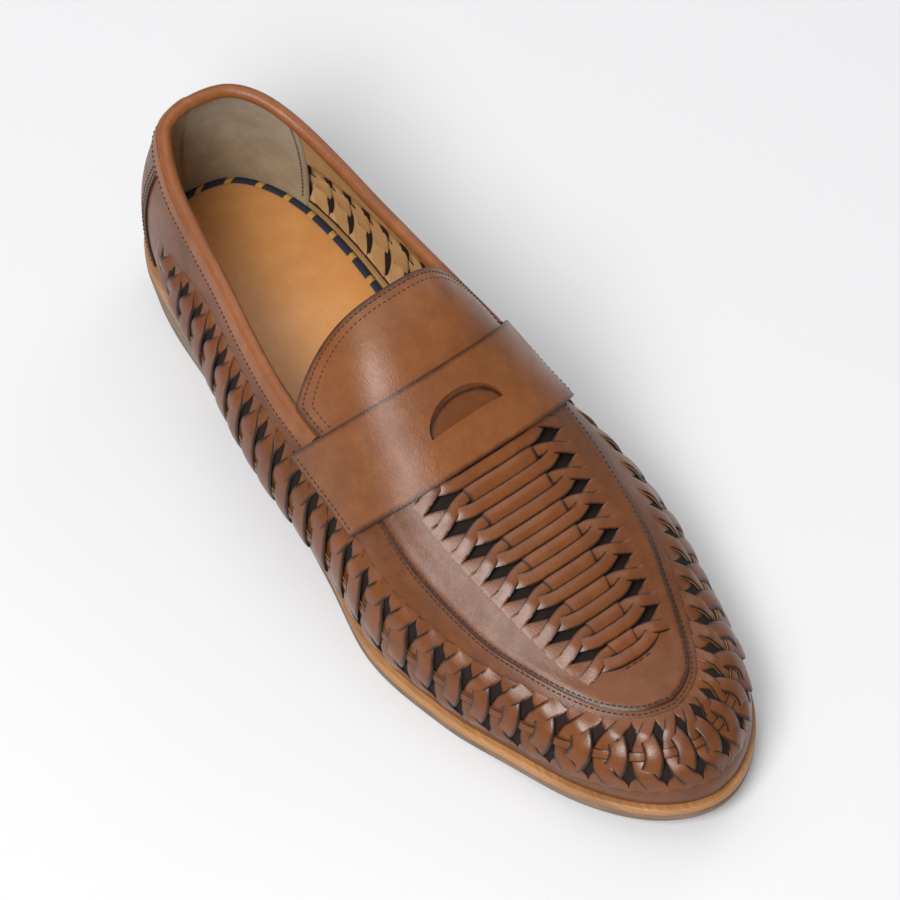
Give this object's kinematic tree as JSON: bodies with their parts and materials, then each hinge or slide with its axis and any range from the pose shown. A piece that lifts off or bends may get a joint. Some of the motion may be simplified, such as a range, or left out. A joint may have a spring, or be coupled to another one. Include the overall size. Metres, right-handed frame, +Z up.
{
  "type": "woven penny loafer",
  "caption": "Slip-on shoe with woven sides, plaited apron, slotted saddle strap, low stacked heel and thin leather sole.",
  "frame": {"origin": "on the ground under the middle of the heel", "axes": "+Y towards the toe, +X towards the outer side of the foot, +Z up"},
  "size_m": [0.1073, 0.3, 0.1005],
  "materials": {
    "tip_rubber": "matt, scuffed",
    "heel_leather": "stacked edge, satin grey-taupe",
    "outsole_leather": "satin grey-taupe edge",
    "welt_leather": "light tan grained edge",
    "sock_leather": "plain tan lining leather",
    "upper_leather": "burnished tan-brown calf",
    "tongue_leather": "burnished tan-brown calf",
    "strap_leather": "burnished tan-brown calf",
    "binding_leather": "rolled soft leather"
  },
  "bodies": {
    "root": {"heel_tip": "tip_rubber", "heel_stack": "heel_leather", "outsole": "outsole_leather", "welt": "welt_leather", "insole": "sock_leather", "upper": "upper_leather", "tongue": "tongue_leather", "saddle_strap": "strap_leather", "collar_binding": "binding_leather"}
  },
  "joints": []
}
